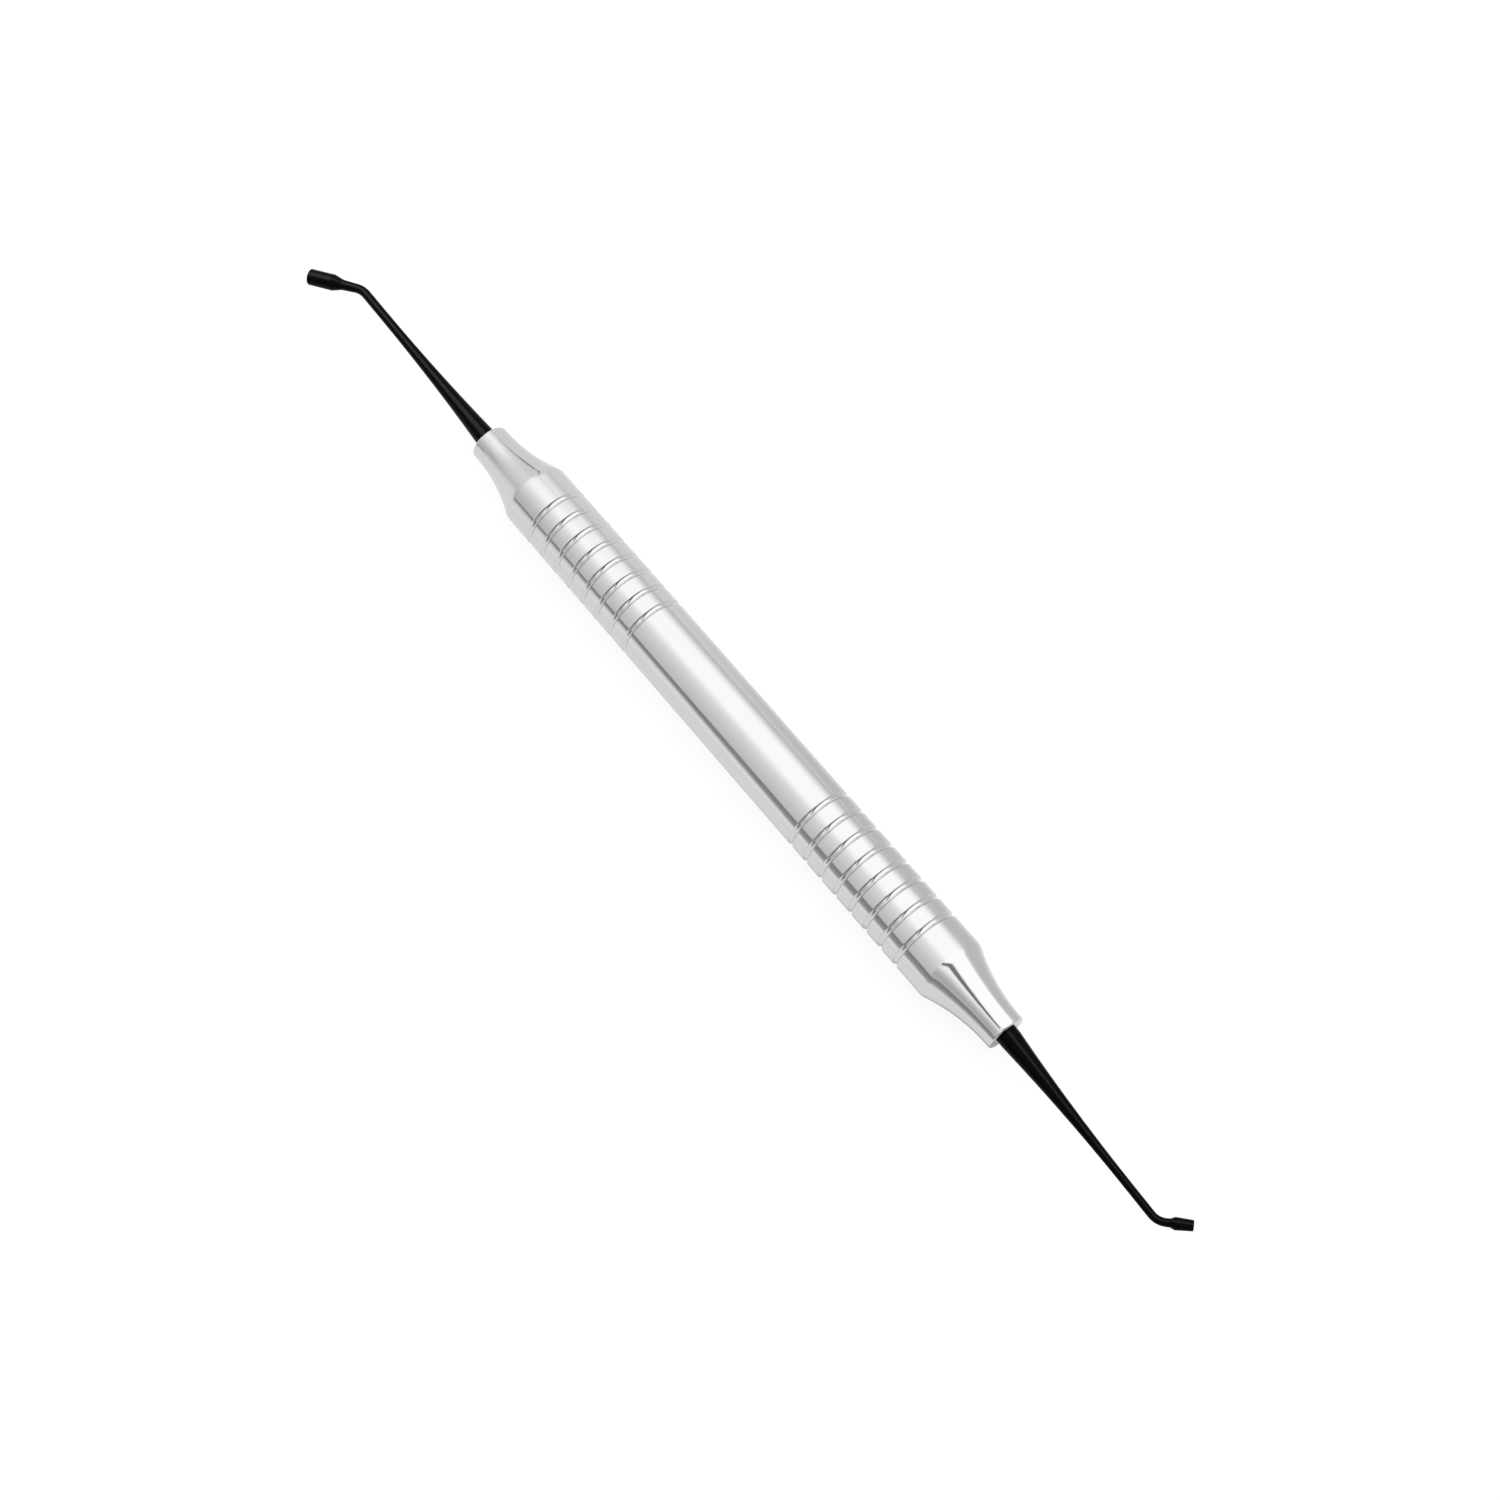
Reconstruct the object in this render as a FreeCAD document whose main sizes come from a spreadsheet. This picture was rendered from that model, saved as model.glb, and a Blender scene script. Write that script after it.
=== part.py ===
import FreeCAD, Part
import Sketcher
import math
import os
import re

# Double-ended composite condenser: a hollow steel handle with ring grooves, a turned
# cone pressed into each end, and a black coated condenser bonded in each cone.
# Millimetres. X runs along the handle towards the small condenser, Z is up.
# The origin is the middle of the handle, on its axis. Both condensers bend in the XY plane.

doc = FreeCAD.newDocument("CompositeCondenser")
sheet = doc.addObject("Spreadsheet::Sheet", "Sizes")

SIZES = [
    # Handle tube
    ("handle_diameter", 10.0),
    ("tube_wall", 0.8),
    ("grip_length", 34.9),
    ("ring_count", 8),
    ("ring_pitch", 3.03),
    ("ring_width", 0.9),
    ("ring_depth", 0.28),
    # End cones, measured outwards from the end of the tube
    ("cone_length", 15.6),
    ("cone_end_diameter", 5.68),
    ("cone_land", 0.6),
    ("cone_sweep_radius", 25.2),
    ("cone_shoulder_round", 1.9),
    ("cone_end_round", 0.3),
    ("spigot_length", 6.0),
    ("spigot_chamfer", 0.4),
    ("fit_gap", 0.01),
    # Tangs of the condensers, in the bores of the cones
    ("tang_diameter", 3.0),
    ("tang_length", 12.0),
    ("tang_chamfer", 0.3),
    # Small condenser
    ("small_lean", 2.4),
    ("small_nib_angle", 43.0),
    ("small_collar_length", 0.9),
    ("small_taper_length", 23.6),
    ("small_shank_length", 29.6),
    ("small_neck_diameter", 1.09),
    ("small_bend_radius", 2.6),
    ("small_neck_length", 0.5),
    ("small_foot_diameter", 1.12),
    ("small_shoulder_length", 0.6),
    ("small_nib_diameter", 1.66),
    ("small_face_diameter", 1.42),
    ("small_nib_length", 2.3),
    ("small_nib_round", 0.16),
    # Large condenser
    ("large_lean", 1.2),
    ("large_nib_angle", 31.4),
    ("large_collar_length", 0.9),
    ("large_taper_length", 25.6),
    ("large_shank_length", 31.55),
    ("large_neck_diameter", 1.34),
    ("large_bend_radius", 3.5),
    ("large_neck_length", 2.2),
    ("large_foot_diameter", 1.52),
    ("large_shoulder_length", 1.5),
    ("large_nib_diameter", 2.38),
    ("large_face_diameter", 2.36),
    ("large_nib_length", 3.8),
    ("large_nib_round", 0.14),
]
for row, (alias, number) in enumerate(SIZES, start=1):
    sheet.set(f"A{row}", alias)
    sheet.set(f"B{row}", str(number))
    sheet.setAlias(f"B{row}", alias)
doc.recompute()


# Expressions and sketches

def sized(text):
    """An expression in which every name with an underscore is a cell of the sheet."""
    return re.sub(r"\b([a-z]+(?:_[a-z]+)+)\b", r"Sizes.\1", text)


def value(text):
    """The number that an expression gives now."""
    return float(sheet.evalExpression(sized(text)))


def new_body(name):
    body = doc.addObject("PartDesign::Body", name)
    body.Label = name
    return body


def origin_feature(body, role):
    return next(item for item in body.Origin.OriginFeatures if item.Role == role)


def new_sketch(body, name, plane, offset=("0", "0", "0"), turn_axis=(0, 0, 1), turn="0"):
    """A sketch on one of the body's own planes, moved and turned in that plane's frame."""
    sketch = body.newObject("Sketcher::SketchObject", name)
    sketch.AttachmentSupport = [(origin_feature(body, plane), "")]
    sketch.MapMode = "FlatFace"
    base = FreeCAD.Vector(*(value(text) for text in offset))
    spin = FreeCAD.Rotation(FreeCAD.Vector(*turn_axis), value(turn))
    sketch.AttachmentOffset = FreeCAD.Placement(base, spin)
    for letter, text in zip("xyz", offset):
        if text != "0":
            sketch.setExpression(f"AttachmentOffset.Base.{letter}", sized(text))
    if turn != "0":
        sketch.setExpression("AttachmentOffset.Rotation.Angle", sized(turn))
    return sketch


def fix_number(sketch, kind, first, second, text):
    """Set one signed distance between two sketch points and bind it to the sheet."""
    number = value(text)
    if number < 0:
        first, second, text, number = second, first, f"-({text})", -number
    index = sketch.addConstraint(Sketcher.Constraint(kind, *first, *second, number))
    sketch.setExpression(f"Constraints[{index}]", sized(text))


def fix_point(sketch, geometry, end, x_text, y_text):
    """Hold a sketch point at the given coordinates, each bound to the sheet."""
    for kind, axis, text in (("DistanceX", -2, x_text), ("DistanceY", -1, y_text)):
        if text == "0":
            sketch.addConstraint(Sketcher.Constraint("PointOnObject", geometry, end, axis))
        else:
            fix_number(sketch, kind, (-1, 1), (geometry, end), text)


def arc_between(start, end, centre_x):
    """The short arc between two corners whose centre has the given x, and whether it runs backwards."""
    gap = (centre_x - end.x) ** 2 - (centre_x - start.x) ** 2 + end.y ** 2 - start.y ** 2
    centre = FreeCAD.Vector(centre_x, gap / (2 * (end.y - start.y)), 0)
    first, last = (math.atan2(p.y - centre.y, p.x - centre.x) for p in (start, end))
    backwards = (last - first) % (2 * math.pi) > math.pi
    if backwards:
        first, last = last, first
    circle = Part.Circle(centre, FreeCAD.Vector(0, 0, 1), centre.distanceToPoint(start))
    return Part.ArcOfCircle(circle, first, last), backwards


def outline(sketch, corners, arcs=None):
    """A closed outline through the corners, each a pair of expressions.

    arcs gives, for the number of a side, the expression for the x of its centre.
    """
    arcs = arcs or {}
    points = [FreeCAD.Vector(value(x), value(y), 0) for x, y in corners]
    sides = []
    for number, start in enumerate(points):
        end = points[(number + 1) % len(points)]
        curve, backwards = Part.LineSegment(start, end), False
        if number in arcs:
            curve, backwards = arc_between(start, end, value(arcs[number]))
        side = sketch.addGeometry(curve, False)
        sides.append([(side, 2), (side, 1)] if backwards else [(side, 1), (side, 2)])
    for number, (head, tail) in enumerate(sides):
        following, _ = sides[(number + 1) % len(sides)]
        sketch.addConstraint(Sketcher.Constraint("Coincident", *tail, *following))
        fix_point(sketch, *head, *corners[number])
    for number, x in arcs.items():
        side, _ = sides[number][0]
        if x == "0":
            sketch.addConstraint(Sketcher.Constraint("PointOnObject", side, 3, -2))
        else:
            fix_number(sketch, "DistanceX", (-1, 1), (side, 3), x)


# Features

def turned(body, kind, name, sketch, axis="H_Axis", angle="360"):
    """A Revolution or a Groove of a sketch about one of the sketch's own axes."""
    feature = body.newObject(f"PartDesign::{kind}", name)
    feature.Profile = sketch
    feature.ReferenceAxis = (sketch, [axis])
    feature.setExpression("Angle", sized(angle))
    return feature


def cut_volume(body, before):
    """Recompute and make sure that the last cut took something away."""
    doc.recompute()
    after = body.Shape.Volume
    if not after < before - 1e-4:
        raise RuntimeError(f"{body.Label}: a cut removed nothing")
    return after


# Handle tube

TUBE_HALF = "(grip_length / 2 + ring_width + (ring_count - 1) * ring_pitch)"
HANDLE_RADIUS = "handle_diameter / 2"
TUBE_BORE = "(handle_diameter / 2 - tube_wall)"
RING_RADIUS = "((ring_width ^ 2 / 4 + ring_depth ^ 2) / (2 * ring_depth))"


def make_handle_tube():
    body = new_body("handle_tube")
    wall = new_sketch(body, "tube_section", "XY_Plane")
    outline(wall, [
        (f"-{TUBE_HALF}", TUBE_BORE),
        (f"-{TUBE_HALF}", HANDLE_RADIUS),
        (TUBE_HALF, HANDLE_RADIUS),
        (TUBE_HALF, TUBE_BORE),
    ])
    turned(body, "Revolution", "tube", wall)
    doc.recompute()
    volume = body.Shape.Volume
    for side, sign in (("small", ""), ("large", "-")):
        section = new_sketch(body, f"{side}_side_ring_section", "XY_Plane")
        first_ring = f"{sign}(grip_length / 2 + ring_width / 2)"
        ring_height = f"{HANDLE_RADIUS} - ring_depth + {RING_RADIUS}"
        centre = FreeCAD.Vector(value(first_ring), value(ring_height), 0)
        circle = Part.Circle(centre, FreeCAD.Vector(0, 0, 1), value(RING_RADIUS))
        ring = section.addGeometry(circle, False)
        fix_point(section, ring, 3, first_ring, ring_height)
        radius = section.addConstraint(Sketcher.Constraint("Radius", ring, circle.Radius))
        section.setExpression(f"Constraints[{radius}]", sized(RING_RADIUS))
        groove = turned(body, "Groove", f"{side}_side_ring", section)
        volume = cut_volume(body, volume)
        rings = body.newObject("PartDesign::LinearPattern", f"{side}_side_rings")
        rings.Originals = [groove]
        rings.Direction = (origin_feature(body, "X_Axis"), [""])
        rings.Reversed = sign == "-"
        rings.setExpression("Occurrences", sized("ring_count"))
        rings.setExpression("Length", sized("(ring_count - 1) * ring_pitch"))
        body.Tip = rings
        volume = cut_volume(body, volume)
    return body


# End cones, drawn from the inner end of the spigot outwards along X

CONE_FACE = "spigot_length"
CONE_END = "(spigot_length + cone_length)"
CONE_END_RADIUS = "(cone_end_diameter / 2)"
SWEEP_X = "(spigot_length + cone_length - cone_land)"
SWEEP_Y = "(cone_end_diameter / 2 + cone_sweep_radius)"
ROUND_Y = "(handle_diameter / 2 - cone_shoulder_round)"
ROUND_REACH = "(cone_sweep_radius + cone_shoulder_round)"
ROUND_X = f"({SWEEP_X} - sqrt({ROUND_REACH} ^ 2 - ({SWEEP_Y} - {ROUND_Y}) ^ 2))"
ROUND_SHARE = f"(cone_shoulder_round / {ROUND_REACH})"
ROUND_END_X = f"({ROUND_X} + {ROUND_SHARE} * ({SWEEP_X} - {ROUND_X}))"
ROUND_END_Y = f"({ROUND_Y} + {ROUND_SHARE} * ({SWEEP_Y} - {ROUND_Y}))"
SPIGOT_RADIUS = f"({TUBE_BORE} - fit_gap)"
CONE_BORE = "(tang_diameter / 2 + fit_gap)"


def make_end_cone(name):
    body = new_body(name)
    section = new_sketch(body, f"{name}_section", "XY_Plane")
    outline(section, [
        ("0", "0"),
        ("0", f"{SPIGOT_RADIUS} - spigot_chamfer"),
        ("spigot_chamfer", SPIGOT_RADIUS),
        (CONE_FACE, SPIGOT_RADIUS),
        (CONE_FACE, HANDLE_RADIUS),
        (ROUND_X, HANDLE_RADIUS),
        (ROUND_END_X, ROUND_END_Y),
        (SWEEP_X, CONE_END_RADIUS),
        (f"{CONE_END} - cone_end_round", CONE_END_RADIUS),
        (CONE_END, f"{CONE_END_RADIUS} - cone_end_round"),
        (CONE_END, CONE_BORE),
        (f"{CONE_END} - tang_length", CONE_BORE),
        (f"{CONE_END} - tang_length", "0"),
    ], arcs={5: ROUND_X, 6: SWEEP_X, 8: f"{CONE_END} - cone_end_round"})
    turned(body, "Revolution", f"{name}_turning", section)
    return body


# Condensers, drawn from the face of their cone outwards along X, the nib turned towards +Y

def make_condenser(name, side):
    def own(text):
        return text.replace("@", side)

    body = new_body(name)
    tang_radius = "tang_diameter / 2"
    tip_radius = own("@_neck_diameter / 2")
    tangent = own("(@_bend_radius * tan((@_lean + @_nib_angle) / 2))")
    shank_end = own(f"(@_shank_length - {tangent})")

    tang = new_sketch(body, f"{name}_tang_section", "XY_Plane")
    outline(tang, [
        ("-tang_length", "0"),
        ("-tang_length", f"{tang_radius} - tang_chamfer"),
        ("tang_chamfer - tang_length", tang_radius),
        ("0", tang_radius),
        ("0", "0"),
    ])
    turned(body, "Revolution", f"{name}_tang", tang)

    # The shank leans away from the nib, on a round end that closes the corner at the cone
    shank = new_sketch(body, f"{name}_shank_section", "XY_Plane",
                       turn_axis=(0, 0, -1), turn=own("@_lean"))
    outline(shank, [
        (f"-{tang_radius}", "0"),
        ("0", tang_radius),
        (own("@_collar_length"), tang_radius),
        (own("@_collar_length + @_taper_length"), tip_radius),
        (shank_end, tip_radius),
        (shank_end, "0"),
    ], arcs={0: "0", 2: own("@_collar_length + @_taper_length")})
    turned(body, "Revolution", f"{name}_shank", shank)

    # The bend is a length of round wire about an upright axis
    bend_x = own(f"{shank_end} * cos(@_lean) + @_bend_radius * sin(@_lean)")
    bend_y = own(f"@_bend_radius * cos(@_lean) - {shank_end} * sin(@_lean)")
    wire = new_sketch(body, f"{name}_bend_section", "YZ_Plane", (bend_y, "0", bend_x),
                      turn_axis=(0, -1, 0), turn=own("@_lean"))
    reach = own("@_bend_radius")
    circle = Part.Circle(FreeCAD.Vector(-value(reach), 0, 0), FreeCAD.Vector(0, 0, 1), value(tip_radius))
    round_wire = wire.addGeometry(circle, False)
    fix_point(wire, round_wire, 3, f"-{reach}", "0")
    radius = wire.addConstraint(Sketcher.Constraint("Radius", round_wire, circle.Radius))
    wire.setExpression(f"Constraints[{radius}]", sized(tip_radius))
    turned(body, "Revolution", f"{name}_bend", wire, axis="V_Axis",
           angle=own("@_lean + @_nib_angle"))

    # Neck, shoulder and flat-faced nib; the neck widens to the foot of the shoulder
    nib_x = own(f"@_shank_length * cos(@_lean) + {tangent} * cos(@_nib_angle)")
    nib_y = own(f"{tangent} * sin(@_nib_angle) - @_shank_length * sin(@_lean)")
    nib = new_sketch(body, f"{name}_nib_section", "XY_Plane", (nib_x, nib_y, "0"),
                     turn=own("@_nib_angle"))
    foot_radius = own("@_foot_diameter / 2")
    nib_radius = own("@_nib_diameter / 2")
    face_radius = own("@_face_diameter / 2")
    shoulder_end = own("@_neck_length + @_shoulder_length")
    nib_end = f"{shoulder_end} + {own('@_nib_length')}"
    outline(nib, [
        ("0", "0"),
        ("0", tip_radius),
        (own("@_neck_length"), foot_radius),
        (shoulder_end, nib_radius),
        (f"{nib_end} - {own('@_nib_round')}", face_radius),
        (nib_end, f"{face_radius} - {own('@_nib_round')}"),
        (nib_end, "0"),
    ], arcs={4: f"{nib_end} - {own('@_nib_round')}"})
    turned(body, "Revolution", f"{name}_nib", nib)
    return body


# Places

def place(body, distance, half_turn):
    """Set a piece along the handle, facing the small or the large end."""
    body.Placement = FreeCAD.Placement(
        FreeCAD.Vector(value(distance), 0, 0),
        FreeCAD.Rotation(FreeCAD.Vector(0, 0, 1), 180 if half_turn else 0))
    body.setExpression("Placement.Base.x", sized(distance))


handle_tube = make_handle_tube()
small_end_cone = make_end_cone("small_end_cone")
large_end_cone = make_end_cone("large_end_cone")
small_condenser = make_condenser("small_condenser", "small")
large_condenser = make_condenser("large_condenser", "large")

place(small_end_cone, f"{TUBE_HALF} - spigot_length", False)
place(large_end_cone, f"spigot_length - {TUBE_HALF}", True)
place(small_condenser, f"{TUBE_HALF} + cone_length", False)
place(large_condenser, f"-({TUBE_HALF} + cone_length)", True)
doc.recompute()

for item in doc.Objects:
    if "Invalid" in item.State or "Error" in item.State:
        raise RuntimeError(f"{item.Label} did not build: {item.State}")

os.makedirs("parts", exist_ok=True)
for body in (handle_tube, small_end_cone, large_end_cone, small_condenser, large_condenser):
    shape = body.Shape
    if shape.isNull() or not shape.isValid():
        raise RuntimeError(f"{body.Label} has no valid shape")
    shape.exportStep(f"parts/{body.Label}.step")
    box = shape.optimalBoundingBox(True)
    print(f"{body.Label}: {len(shape.Solids)} solid, {shape.Volume:.2f} mm3, "
          f"X {box.XMin:.2f} to {box.XMax:.2f}, Y {box.YMin:.2f} to {box.YMax:.2f}, "
          f"Z {box.ZMin:.2f} to {box.ZMax:.2f}")
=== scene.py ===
"""Looks of a double-ended composite condenser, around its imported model.

Metres. X runs along the handle towards the small condenser and Z is up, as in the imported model.
The instrument lies on a white table, and the camera looks down on it.
"""

import math

import bpy
from bpy.props import FloatProperty, FloatVectorProperty, PointerProperty
from mathutils import Matrix, Vector


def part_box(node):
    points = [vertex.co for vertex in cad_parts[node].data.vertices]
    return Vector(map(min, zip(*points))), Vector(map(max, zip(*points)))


bl_info = {
    "name": "Composite condenser",
    "version": (1, 0, 0),
    "blender": (4, 5, 0),
    "location": "View3D > Sidebar > Condenser",
    "description": "Satin steel, black coating and studio of a double-ended composite condenser",
    "category": "Object",
}

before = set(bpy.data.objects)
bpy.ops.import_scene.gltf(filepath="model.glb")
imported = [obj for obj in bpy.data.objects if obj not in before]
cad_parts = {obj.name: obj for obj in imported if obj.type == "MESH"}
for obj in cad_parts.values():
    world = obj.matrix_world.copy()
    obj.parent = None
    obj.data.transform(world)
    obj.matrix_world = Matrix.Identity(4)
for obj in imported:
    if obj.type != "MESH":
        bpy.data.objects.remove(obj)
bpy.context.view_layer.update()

HANDLE = "handle_tube"
END_CONES = ("small_end_cone", "large_end_cone")
CONDENSERS = ("small_condenser", "large_condenser")
TABLE_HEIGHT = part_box(HANDLE)[0].z
WHITE = (1.0, 1.0, 1.0, 1.0)


# Settings

class SteelSettings(bpy.types.PropertyGroup):
    color: FloatVectorProperty(
        name="Steel colour", description="Colour of the polished stainless steel",
        subtype="COLOR", size=3, min=0.0, max=1.0, default=(0.67, 0.67, 0.66))
    roughness: FloatProperty(
        name="Satin", description="Roughness left by the last polish",
        subtype="FACTOR", min=0.0, max=1.0, default=0.10)
    grain_length: FloatProperty(
        name="Grain length", description="Length of the faint polishing marks",
        subtype="DISTANCE", unit="LENGTH", min=0.0001, max=0.01, default=0.0016)
    grain_width: FloatProperty(
        name="Grain width", description="Width of the faint polishing marks",
        subtype="DISTANCE", unit="LENGTH", min=0.00005, max=0.001, default=0.00022)
    grain_depth: FloatProperty(
        name="Grain depth", description="Depth of the faint polishing marks",
        subtype="DISTANCE", unit="LENGTH", min=0.0, max=0.0001, precision=7, default=0.0000012)


class CoatingSettings(bpy.types.PropertyGroup):
    color: FloatVectorProperty(
        name="Coating colour", description="Colour of the black hard coating",
        subtype="COLOR", size=3, min=0.0, max=1.0, default=(0.0004, 0.0004, 0.0004))
    roughness: FloatProperty(
        name="Satin", description="Roughness of the coating",
        subtype="FACTOR", min=0.0, max=1.0, default=0.22)
    gloss: FloatProperty(
        name="Gloss", description="Strength of the coating's own reflection",
        subtype="FACTOR", min=0.0, max=1.0, default=0.05)
    speck_size: FloatProperty(
        name="Speck size", description="Size of the coating's fine pits",
        subtype="DISTANCE", unit="LENGTH", min=0.00001, max=0.001, default=0.00012)


class StudioSettings(bpy.types.PropertyGroup):
    table_white: FloatProperty(
        name="Table white", description="Share of the light that the white table throws back",
        subtype="FACTOR", min=0.0, max=1.0, default=0.93)
    table_size: FloatProperty(
        name="Table size", description="Length of the square table's side",
        subtype="DISTANCE", unit="LENGTH", min=1.0, default=8.0)
    camera_place: FloatVectorProperty(
        name="Camera place", description="Place of the camera's lens",
        subtype="TRANSLATION", unit="LENGTH", size=3, default=(0.1072, -0.00085, 0.3175))
    camera_tilt: FloatProperty(
        name="Camera tilt", description="Lean of the camera from straight down, towards the small end",
        subtype="ANGLE", unit="ROTATION", default=math.radians(17.96))
    camera_roll: FloatProperty(
        name="Camera roll", description="Turn of the camera about its own line of sight",
        subtype="ANGLE", unit="ROTATION", default=math.radians(48.9))
    camera_lens: FloatProperty(
        name="Focal length", description="Focal length in millimetres on a 36 mm sensor",
        min=10.0, max=300.0, default=60.35)


# Node helpers

def new_material(name):
    """An empty node material and its tree."""
    material = bpy.data.materials.new(name)
    material.use_nodes = True
    tree = material.node_tree
    tree.nodes.clear()
    return material, tree


def add_node(tree, kind, place, **values):
    """A node at a place on the sheet, with its properties set by name."""
    node = tree.nodes.new(kind)
    node.location = place
    for key, setting in values.items():
        setattr(node, key, setting)
    return node


def set_inputs(node, **values):
    """Set the values of a node's inputs by their names, with _ for a space."""
    for key, setting in values.items():
        node.inputs[key.replace("_", " ")].default_value = setting


def set_ramp(node, stops):
    """Fill a colour ramp with pairs of position and grey level."""
    ramp = node.color_ramp
    while len(ramp.elements) > 1:
        ramp.elements.remove(ramp.elements[-1])
    first, *others = stops
    ramp.elements[0].position = first[0]
    ramp.elements[0].color = (*[first[1]] * 3, 1.0)
    for position, level in others:
        stop = ramp.elements.new(position)
        stop.color = (*[level] * 3, 1.0)


def feed(tree, socket, given):
    """Give a socket a number, or link another node's output to it."""
    if isinstance(given, float):
        socket.default_value = given
    else:
        tree.links.new(given, socket)


def combine(tree, place, operation, *given):
    """One step of arithmetic on numbers and other nodes' outputs."""
    node = add_node(tree, "ShaderNodeMath", place, operation=operation)
    for socket, value in zip(node.inputs, given):
        feed(tree, socket, value)
    return node.outputs["Value"]


def soft_step(tree, place, value, low, high):
    """A value that goes smoothly from 0 to 1 while its input goes from low to high."""
    step = add_node(tree, "ShaderNodeMapRange", place, interpolation_type="SMOOTHSTEP")
    for name, given in (("Value", value), ("From Min", low), ("From Max", high)):
        feed(tree, step.inputs[name], given)
    return step.outputs["Result"]


def between(tree, place, value, near, far):
    """A setting that goes evenly from one (position, amount) pair to another and stays there."""
    slope = add_node(tree, "ShaderNodeMapRange", place)
    set_inputs(slope, From_Min=near[0], From_Max=far[0], To_Min=near[1], To_Max=far[1])
    tree.links.new(value, slope.inputs["Value"])
    return slope.outputs["Result"]


def blend(tree, place, level, mask, other):
    """Change a brightness to another one where the mask is 1."""
    mix = add_node(tree, "ShaderNodeMix", place, data_type="FLOAT")
    for name, given in (("Factor", mask), ("A", level), ("B", other)):
        feed(tree, mix.inputs[name], given)
    return mix.outputs["Result"]


def mix_shaders(tree, place, mask, first, second):
    """The first shader, and the second one where the mask is 1."""
    mix = add_node(tree, "ShaderNodeMixShader", place)
    for socket, output in zip(mix.inputs, (mask, first, second)):
        tree.links.new(output, socket)
    return mix.outputs["Shader"]


# Materials

# Most of a noise lies between these two values
NOISE_SPAN = (0.3, 0.7)

# How each finish follows its noise: the factors on its roughness where the noise is low and
# where it is high, and the strength of its relief
STEEL_SPREAD = (0.8, 1.25)
STEEL_RELIEF = 1.0
COATING_SPREAD = (0.85, 1.2)
COATING_RELIEF = 0.6

# A pit of the coating is this many times as wide as it is deep
PIT_WIDTH_TO_DEPTH = 60


def uneven_shader(tree, noise, roughness, spread, relief, depth):
    """Put out a shader whose roughness and height vary a little with a noise, and return it."""
    low, high = NOISE_SPAN
    at_low, at_high = spread
    satin = between(tree, (-450, 150), noise, (low, roughness * at_low), (high, roughness * at_high))
    marks = add_node(tree, "ShaderNodeBump", (-450, -200))
    set_inputs(marks, Strength=relief, Distance=depth)
    tree.links.new(noise, marks.inputs["Height"])
    shader = add_node(tree, "ShaderNodeBsdfPrincipled", (-150, 0))
    tree.links.new(satin, shader.inputs["Roughness"])
    tree.links.new(marks.outputs["Normal"], shader.inputs["Normal"])
    output = add_node(tree, "ShaderNodeOutputMaterial", (150, 0))
    tree.links.new(shader.outputs["BSDF"], output.inputs["Surface"])
    return shader


def satin_steel(name, settings):
    """Polished stainless steel with faint marks along the handle."""
    material, tree = new_material(name)
    place = add_node(tree, "ShaderNodeTexCoord", (-1100, 0))
    stretch = add_node(tree, "ShaderNodeMapping", (-900, 0))
    stretch.inputs["Scale"].default_value = (
        1 / settings.grain_length, 1 / settings.grain_width, 1 / settings.grain_width)
    tree.links.new(place.outputs["Object"], stretch.inputs["Vector"])
    grain = add_node(tree, "ShaderNodeTexNoise", (-700, 0))
    set_inputs(grain, Scale=1.0, Detail=3.0, Roughness=0.6)
    tree.links.new(stretch.outputs["Vector"], grain.inputs["Vector"])

    shader = uneven_shader(
        tree, grain.outputs["Fac"], settings.roughness, STEEL_SPREAD, STEEL_RELIEF, settings.grain_depth)
    set_inputs(shader, Base_Color=(*settings.color, 1.0), Metallic=1.0)
    return material


def black_coating(name, settings):
    """Satin black hard coating with fine pits."""
    material, tree = new_material(name)
    place = add_node(tree, "ShaderNodeTexCoord", (-1100, 0))
    pits = add_node(tree, "ShaderNodeTexNoise", (-800, 0))
    set_inputs(pits, Scale=1 / settings.speck_size, Detail=2.0, Roughness=0.5)
    tree.links.new(place.outputs["Object"], pits.inputs["Vector"])

    shader = uneven_shader(
        tree, pits.outputs["Fac"], settings.roughness, COATING_SPREAD, COATING_RELIEF,
        settings.speck_size / PIT_WIDTH_TO_DEPTH)
    set_inputs(shader, Base_Color=(*settings.color, 1.0), Specular_IOR_Level=settings.gloss)
    return material


def dress(node, material):
    """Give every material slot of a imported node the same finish."""
    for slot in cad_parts[node].material_slots:
        slot.material = material


# Pieces

class CONDENSER_OT_handle(bpy.types.Operator):
    """Finish the handle tube in satin polished steel"""
    bl_idname = "condenser.handle"
    bl_label = "Finish handle"

    def execute(self, context):
        steel = satin_steel("handle_satin_steel", context.scene.condenser_steel)
        dress(HANDLE, steel)
        return {"FINISHED"}


class CONDENSER_OT_end_cones(bpy.types.Operator):
    """Finish both end cones in satin polished steel"""
    bl_idname = "condenser.end_cones"
    bl_label = "Finish end cones"

    def execute(self, context):
        steel = satin_steel("cone_satin_steel", context.scene.condenser_steel)
        for cone in END_CONES:
            dress(cone, steel)
        return {"FINISHED"}


class CONDENSER_OT_condensers(bpy.types.Operator):
    """Finish both working ends in the black hard coating"""
    bl_idname = "condenser.condensers"
    bl_label = "Finish condensers"

    def execute(self, context):
        coating = black_coating("black_hard_coating", context.scene.condenser_coating)
        for condenser in CONDENSERS:
            dress(condenser, coating)
        return {"FINISHED"}


# Stage

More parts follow.
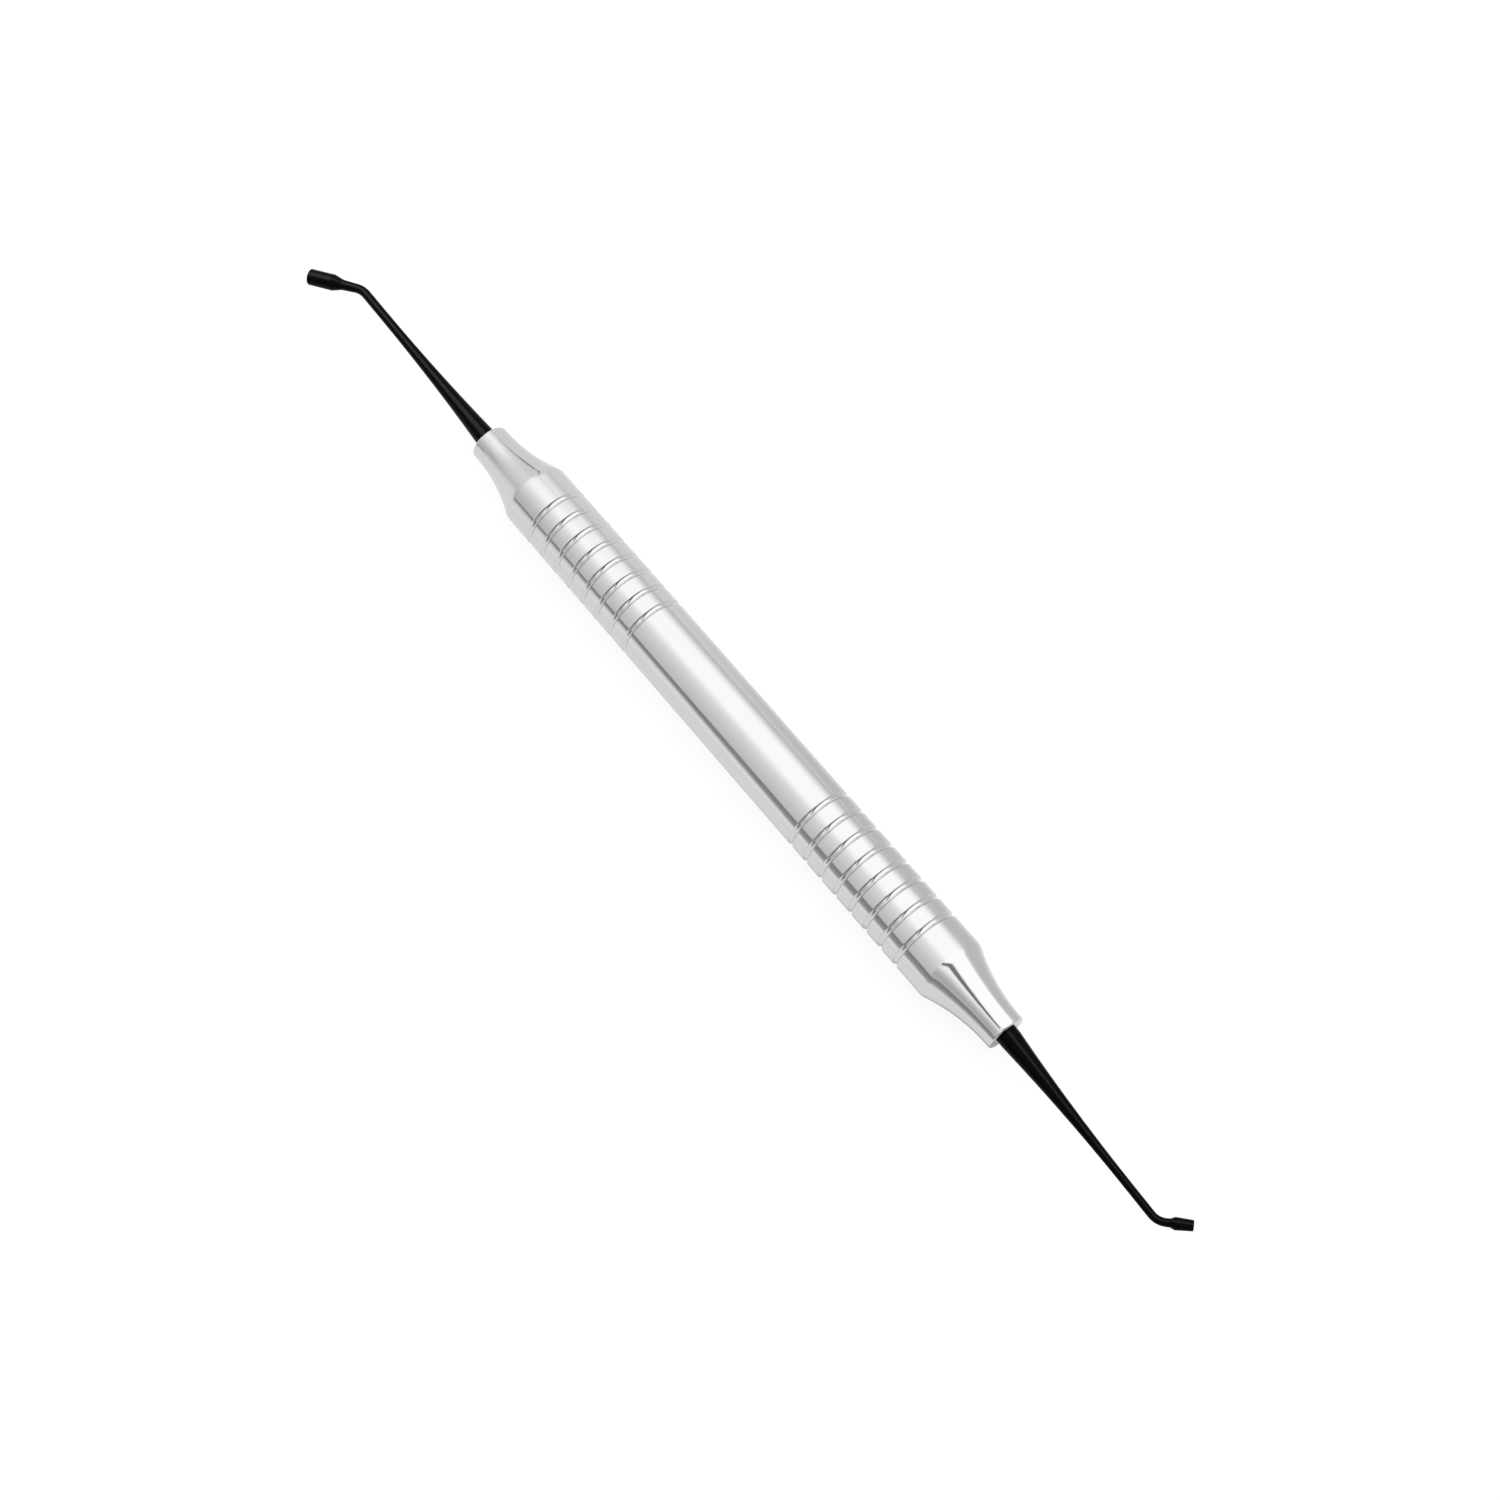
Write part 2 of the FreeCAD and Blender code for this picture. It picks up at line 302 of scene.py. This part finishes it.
# The studio has a brightness for each direction. X is the direction's part along the handle, from
# -1 towards the large end to 1 towards the small end. The angle goes about the handle, in degrees
# from straight up towards +Y. Each row gives pairs of angle and brightness.
SMALL_END_BANDS = (
    (-90.0, 0.98),
    (-80.0, 0.90),
    (-60.0, 0.72),
    (-50.0, 0.60),
    (-40.0, 0.56),
    (-34.0, 0.63),
    (-28.0, 0.74),
    (-22.0, 0.92),
    (-16.0, 1.14),
    (-6.0, 1.32),
    (4.0, 1.46),
    (64.0, 1.46),
    (69.0, 1.25),
    (75.0, 0.80),
    (90.0, 0.68),
)
HANDLE_BANDS = (
    (-90.0, 1.04),
    (-80.0, 1.00),
    (-60.0, 0.84),
    (-52.0, 0.74),
    (-30.0, 0.84),
    (-10.0, 0.98),
    (0.0, 1.14),
    (12.0, 1.41),
    (56.0, 1.42),
    (66.0, 1.22),
    (78.0, 0.84),
    (90.0, 0.66),
)
LARGE_END_BANDS = (
    (-90.0, 0.98),
    (-66.0, 0.84),
    (-55.0, 0.62),
    (-40.0, 0.62),
    (-25.0, 0.80),
    (-6.0, 1.05),
    (8.0, 1.20),
    (23.0, 1.34),
    (37.0, 1.12),
    (50.0, 0.98),
    (65.0, 0.88),
    (90.0, 0.88),
)
FAR_END_BANDS = (
    (-90.0, 0.96),
    (-70.0, 0.88),
    (-54.0, 0.70),
    (-37.0, 0.78),
    (-19.0, 0.86),
    (0.0, 0.94),
    (30.0, 0.96),
    (55.0, 0.87),
    (71.0, 0.84),
    (90.0, 0.88),
)

# The rows that take over from the handle's, each with the stretch of X in which it does so
BAND_ROWS = (
    (SMALL_END_BANDS, -0.20, -0.13),
    (LARGE_END_BANDS, -0.36, -0.50),
    (FAR_END_BANDS, -0.60, -0.86),
)
FULL_TURN = 360.0

# A ramp holds levels up to 1, so the rows go into theirs as shares of this brightness
BRIGHTEST = 1.6

# The dark gap under the tent's edge: the angle of the edge and the blur on each side of it
GAP_EDGE = -57.0
GAP_EDGE_BLUR = 2.4

# The angle of the gap's other side, as pairs of X and angle, and the blur below and above it
GAP_REACH = ((-0.43, -64.5), (-0.26, -79.0))
GAP_REACH_BLUR = (6.0, 5.0)

# The gap's brightness, as pairs of angle and brightness, and the stretch of X where it appears
GAP_LEVELS = ((-77.0, 0.44), (-62.0, 0.28))
GAP_SHOWN = (-0.60, -0.46)

# Straight dark bars. A bar lies along the plane through the handle's middle that has this normal,
# and it appears in the stretch of X called shown. Near and far each give an X, half the bar's
# width there as a sine, and its brightness there. Blur is the width of its soft edge.
BOOM = {
    "plane": (-0.333, 0.940, 0.071),
    "blur": 0.090,
    "shown": (-0.150, -0.110),
    "near": (-0.05, 0.125, 0.13),
    "far": (0.22, 0.155, 0.22),
}
SEAM = {
    "plane": (0.468, 0.738, -0.486),
    "blur": 0.028,
    "shown": (-0.400, -0.470),
    "near": (-0.48, 0.034, 0.46),
    "far": (-0.85, 0.054, 0.30),
}

# Beyond the small end the studio grows dark, over this stretch of X
DARK_END = (0.66, 0.86)
DARK_END_LEVEL = 0.14

# The white table: the share of its own glow, to the camera and in mirrors, its brightness to the
# camera, and its brightness in the steel
TABLE_GLOW = 0.72
TABLE_SHOWN = 1.11
TABLE_MIRRORED = 0.985

# Painted shade on two parts of the table that the steel mirrors darker towards the small end: a
# painted shadow in a strip close under the handle, and painted shade on the side towards +Y. Starts
# and ends are stretches of Y, in metres, and levels are pairs of X and brightness.
PAINTED_SHADOW_UNDER_HANDLE = {
    "starts": (-0.011, -0.004),
    "ends": (0.003, -0.002),
    "levels": ((-0.045, 1.02), (0.045, 0.50)),
}
PAINTED_SHADE_FAR_SIDE = {
    "starts": (0.0045, 0.0155),
    "levels": ((-0.030, 0.92), (0.005, 0.745)),
}

# Lamps that bring out the black ends: place, the point that they face, size and power in watts
RIM_LAMPS = {
    "shank_strip": {
        "place": (-0.200, 0.242, 0.437),
        "faces": (-0.200, 0.0, 0.0),
        "size": (1.000, 0.150),
        "power": 2.6,
    },
    "nib_panel": {
        "place": (-0.157, 0.004, 0.108),
        "faces": (-0.093, -0.004, 0.0),
        "size": (0.080, 0.080),
        "power": 0.12,
    },
}


def bands(tree, place, share, stops):
    """The studio's brightness by the share of a full turn, from one row of angles."""
    x, y = place
    ramp = add_node(tree, "ShaderNodeValToRGB", place)
    set_ramp(ramp, [(0.5 + degrees / FULL_TURN, level / BRIGHTEST) for degrees, level in stops])
    tree.links.new(share, ramp.inputs["Fac"])
    return combine(tree, (x + 300, y), "MULTIPLY", ramp.outputs["Color"], BRIGHTEST)


def dark_gap(tree, level, degrees, along):
    """Darken the gap under the tent's edge."""
    far_side = between(tree, (-1600, -800), along, *GAP_REACH)
    below, above = GAP_REACH_BLUR
    starts = combine(tree, (-1400, -700), "SUBTRACT", far_side, below)
    full = combine(tree, (-1400, -900), "ADD", far_side, above)
    opened = soft_step(tree, (-1200, -800), degrees, starts, full)
    closed = soft_step(tree, (-1200, -1100), degrees, GAP_EDGE + GAP_EDGE_BLUR, GAP_EDGE - GAP_EDGE_BLUR)
    open_part = combine(tree, (-1000, -800), "MULTIPLY", opened, closed)
    shown = soft_step(tree, (-1000, -1100), along, *GAP_SHOWN)
    mask = combine(tree, (-800, -800), "MULTIPLY", open_part, shown)
    dark = between(tree, (-1000, -550), degrees, *GAP_LEVELS)
    return blend(tree, (-700, 100), level, mask, dark)


def dark_bar(tree, place, level, direction, along, bar):
    """Darken a straight bar of the studio."""
    x, y = place
    across = add_node(tree, "ShaderNodeVectorMath", place, operation="DOT_PRODUCT")
    tree.links.new(direction, across.inputs[0])
    across.inputs[1].default_value = bar["plane"]
    aside = combine(tree, (x + 200, y), "ABSOLUTE", across.outputs["Value"])
    (near, near_half, near_level), (far, far_half, far_level) = bar["near"], bar["far"]
    half = between(tree, (x, y - 250), along, (near, near_half), (far, far_half))
    dark = between(tree, (x, y - 500), along, (near, near_level), (far, far_level))
    inner = combine(tree, (x + 200, y - 250), "SUBTRACT", half, bar["blur"])
    inside = soft_step(tree, (x + 400, y), aside, half, inner)
    shown = soft_step(tree, (x + 400, y - 250), along, *bar["shown"])
    mask = combine(tree, (x + 600, y), "MULTIPLY", inside, shown)
    return blend(tree, (x + 800, y), level, mask, dark)


def studio_world():
    """A white tent with a bright side, a gap, a boom and a seam, as the steel mirrors them."""
    world = bpy.data.worlds.new("studio")
    world.use_nodes = True
    tree = world.node_tree
    tree.nodes.clear()
    place = add_node(tree, "ShaderNodeTexCoord", (-2600, 0))
    direction = place.outputs["Generated"]
    axes = add_node(tree, "ShaderNodeSeparateXYZ", (-2400, 0))
    tree.links.new(direction, axes.inputs["Vector"])
    along = axes.outputs["X"]
    angle = combine(tree, (-2200, 0), "ARCTAN2", axes.outputs["Y"], axes.outputs["Z"])
    degrees = combine(tree, (-2000, 200), "DEGREES", angle)
    share = combine(tree, (-1800, 0), "MULTIPLY_ADD", degrees, 1 / FULL_TURN, 0.5)

    level = bands(tree, (-1600, 300), share, HANDLE_BANDS)
    for number, (stops, starts, full) in enumerate(BAND_ROWS):
        row = 700 + 500 * number
        toward = soft_step(tree, (-1300, row + 250), along, starts, full)
        level = blend(tree, (-1000, row), level, toward, bands(tree, (-1600, row), share, stops))
    level = dark_gap(tree, level, degrees, along)
    for number, bar in enumerate((BOOM, SEAM)):
        level = dark_bar(tree, (-1600, -1500 - 800 * number), level, direction, along, bar)
    dark_end = soft_step(tree, (-300, -400), along, *DARK_END)
    level = blend(tree, (-100, 100), level, dark_end, DARK_END_LEVEL)

    studio = add_node(tree, "ShaderNodeBackground", (150, 0))
    studio.inputs["Color"].default_value = WHITE
    tree.links.new(level, studio.inputs["Strength"])
    plain = add_node(tree, "ShaderNodeBackground", (150, -200))
    set_inputs(plain, Color=WHITE, Strength=1.0)
    ray = add_node(tree, "ShaderNodeLightPath", (150, 400))
    seen = mix_shaders(
        tree, (400, 0), ray.outputs["Is Camera Ray"], studio.outputs["Background"],
        plain.outputs["Background"])
    output = add_node(tree, "ShaderNodeOutputWorld", (600, 0))
    tree.links.new(seen, output.inputs["Surface"])
    return world


def mirrored_table(tree):
    """The table's brightness in the steel, by the place on it, with painted shadow under the handle and
    painted shade towards +Y.
    """
    place = add_node(tree, "ShaderNodeNewGeometry", (-2100, -300))
    axes = add_node(tree, "ShaderNodeSeparateXYZ", (-1900, -300))
    tree.links.new(place.outputs["Position"], axes.inputs["Vector"])
    along, across = axes.outputs["X"], axes.outputs["Y"]
    # Painted shadow that the steel mirrors: a strip of the table close under the handle
    starts = soft_step(tree, (-1700, -300), across, *PAINTED_SHADOW_UNDER_HANDLE["starts"])
    ends = soft_step(tree, (-1700, -550), across, *PAINTED_SHADOW_UNDER_HANDLE["ends"])
    strip = combine(tree, (-1500, -300), "MULTIPLY", starts, ends)
    strip_level = between(tree, (-1700, -800), along, *PAINTED_SHADOW_UNDER_HANDLE["levels"])
    level = blend(tree, (-1300, -300), TABLE_MIRRORED, strip, strip_level)
    # Painted shade that the steel mirrors: the side of the table towards +Y
    side = soft_step(tree, (-1300, -550), across, *PAINTED_SHADE_FAR_SIDE["starts"])
    side_level = between(tree, (-1700, -1050), along, *PAINTED_SHADE_FAR_SIDE["levels"])
    return blend(tree, (-1100, -300), level, side, side_level)


def table_material(settings):
    """White table that shows as white, keeps a soft shadow and is greyer in the steel, where painted
    shade darkens it under the handle and towards +Y.
    """
    material, tree = new_material("white_table")
    ray = add_node(tree, "ShaderNodeLightPath", (-900, 300))
    direct = combine(
        tree, (-700, 300), "MAXIMUM", ray.outputs["Is Camera Ray"], ray.outputs["Is Glossy Ray"])
    glows = combine(tree, (-500, 300), "MAXIMUM", direct, ray.outputs["Is Transmission Ray"])
    share = combine(tree, (-300, 300), "MULTIPLY", glows, TABLE_GLOW)

    level = blend(tree, (-700, -300), TABLE_SHOWN, ray.outputs["Is Glossy Ray"], mirrored_table(tree))
    tone = combine(tree, (-500, -300), "MULTIPLY", level, settings.table_white)
    matt = add_node(tree, "ShaderNodeBsdfDiffuse", (-300, 0))
    tree.links.new(tone, matt.inputs["Color"])
    bright = add_node(tree, "ShaderNodeEmission", (-300, -200))
    bright.inputs["Color"].default_value = WHITE
    tree.links.new(level, bright.inputs["Strength"])
    seen = mix_shaders(tree, (0, 0), share, matt.outputs["BSDF"], bright.outputs["Emission"])
    output = add_node(tree, "ShaderNodeOutputMaterial", (200, 0))
    tree.links.new(seen, output.inputs["Surface"])
    return material


def rim_lamps(context):
    """Soft lamps that light the black ends alone."""
    lit = bpy.data.collections.new("black_ends")
    for condenser in CONDENSERS:
        lit.objects.link(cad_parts[condenser])
    for name, plan in RIM_LAMPS.items():
        light = bpy.data.lights.new(name, "AREA")
        light.shape = "RECTANGLE"
        light.size, light.size_y = plan["size"]
        light.energy = plan["power"]
        lamp = bpy.data.objects.new(name, light)
        context.collection.objects.link(lamp)
        place = Vector(plan["place"])
        back = (place - Vector(plan["faces"])).normalized()
        side = Vector((0.0, 1.0, 0.0)).cross(back).normalized()
        turn = Matrix((side, back.cross(side), back)).transposed()
        lamp.matrix_world = Matrix.Translation(place) @ turn.to_4x4()
        lamp.visible_camera = False
        lamp.light_linking.receiver_collection = lit


class CONDENSER_OT_stage(bpy.types.Operator):
    """Set the table, the studio light and the camera"""
    bl_idname = "condenser.stage"
    bl_label = "Set stage"

    def execute(self, context):
        settings = context.scene.condenser_studio
        half = settings.table_size / 2
        corners = [(-half, -half), (half, -half), (half, half), (-half, half)]
        mesh = bpy.data.meshes.new("table")
        mesh.from_pydata([(x, y, TABLE_HEIGHT) for x, y in corners], [], [(0, 1, 2, 3)])
        mesh.materials.append(table_material(settings))
        table = bpy.data.objects.new("table", mesh)
        context.collection.objects.link(table)

        context.scene.world = studio_world()
        rim_lamps(context)

        lens = bpy.data.cameras.new("camera")
        lens.sensor_fit = "HORIZONTAL"
        lens.sensor_width = 36.0
        lens.lens = settings.camera_lens
        lens.clip_start = 0.01
        lens.clip_end = 100.0
        camera = bpy.data.objects.new("camera", lens)
        context.collection.objects.link(camera)
        camera.matrix_world = (
            Matrix.Translation(settings.camera_place)
            @ Matrix.Rotation(settings.camera_tilt, 4, "Y")
            @ Matrix.Rotation(settings.camera_roll, 4, "Z"))
        context.scene.camera = camera
        context.scene.view_settings.view_transform = "Standard"
        return {"FINISHED"}


class CONDENSER_PT_panel(bpy.types.Panel):
    """Lists the settings and the steps of the condenser"""
    bl_idname = "CONDENSER_PT_panel"
    bl_label = "Composite condenser"
    bl_space_type = "VIEW_3D"
    bl_region_type = "UI"
    bl_category = "Condenser"

    def draw(self, context):
        for group, steps in PANEL_ROWS:
            box = self.layout.box()
            settings = getattr(context.scene, group)
            for name in settings.__annotations__:
                box.prop(settings, name)
            for step in steps:
                box.operator(step)


PANEL_ROWS = (
    ("condenser_steel", ("condenser.handle", "condenser.end_cones")),
    ("condenser_coating", ("condenser.condensers",)),
    ("condenser_studio", ("condenser.stage",)),
)
CLASSES = (
    SteelSettings,
    CoatingSettings,
    StudioSettings,
    CONDENSER_OT_handle,
    CONDENSER_OT_end_cones,
    CONDENSER_OT_condensers,
    CONDENSER_OT_stage,
    CONDENSER_PT_panel,
)


def register():
    for cls in CLASSES:
        bpy.utils.register_class(cls)
    bpy.types.Scene.condenser_steel = PointerProperty(type=SteelSettings)
    bpy.types.Scene.condenser_coating = PointerProperty(type=CoatingSettings)
    bpy.types.Scene.condenser_studio = PointerProperty(type=StudioSettings)


def unregister():
    del bpy.types.Scene.condenser_studio
    del bpy.types.Scene.condenser_coating
    del bpy.types.Scene.condenser_steel
    for cls in reversed(CLASSES):
        bpy.utils.unregister_class(cls)


def main():
    register()
    bpy.ops.condenser.handle()
    bpy.ops.condenser.end_cones()
    bpy.ops.condenser.condensers()
    bpy.ops.condenser.stage()


if __name__ == "__main__":
    main()
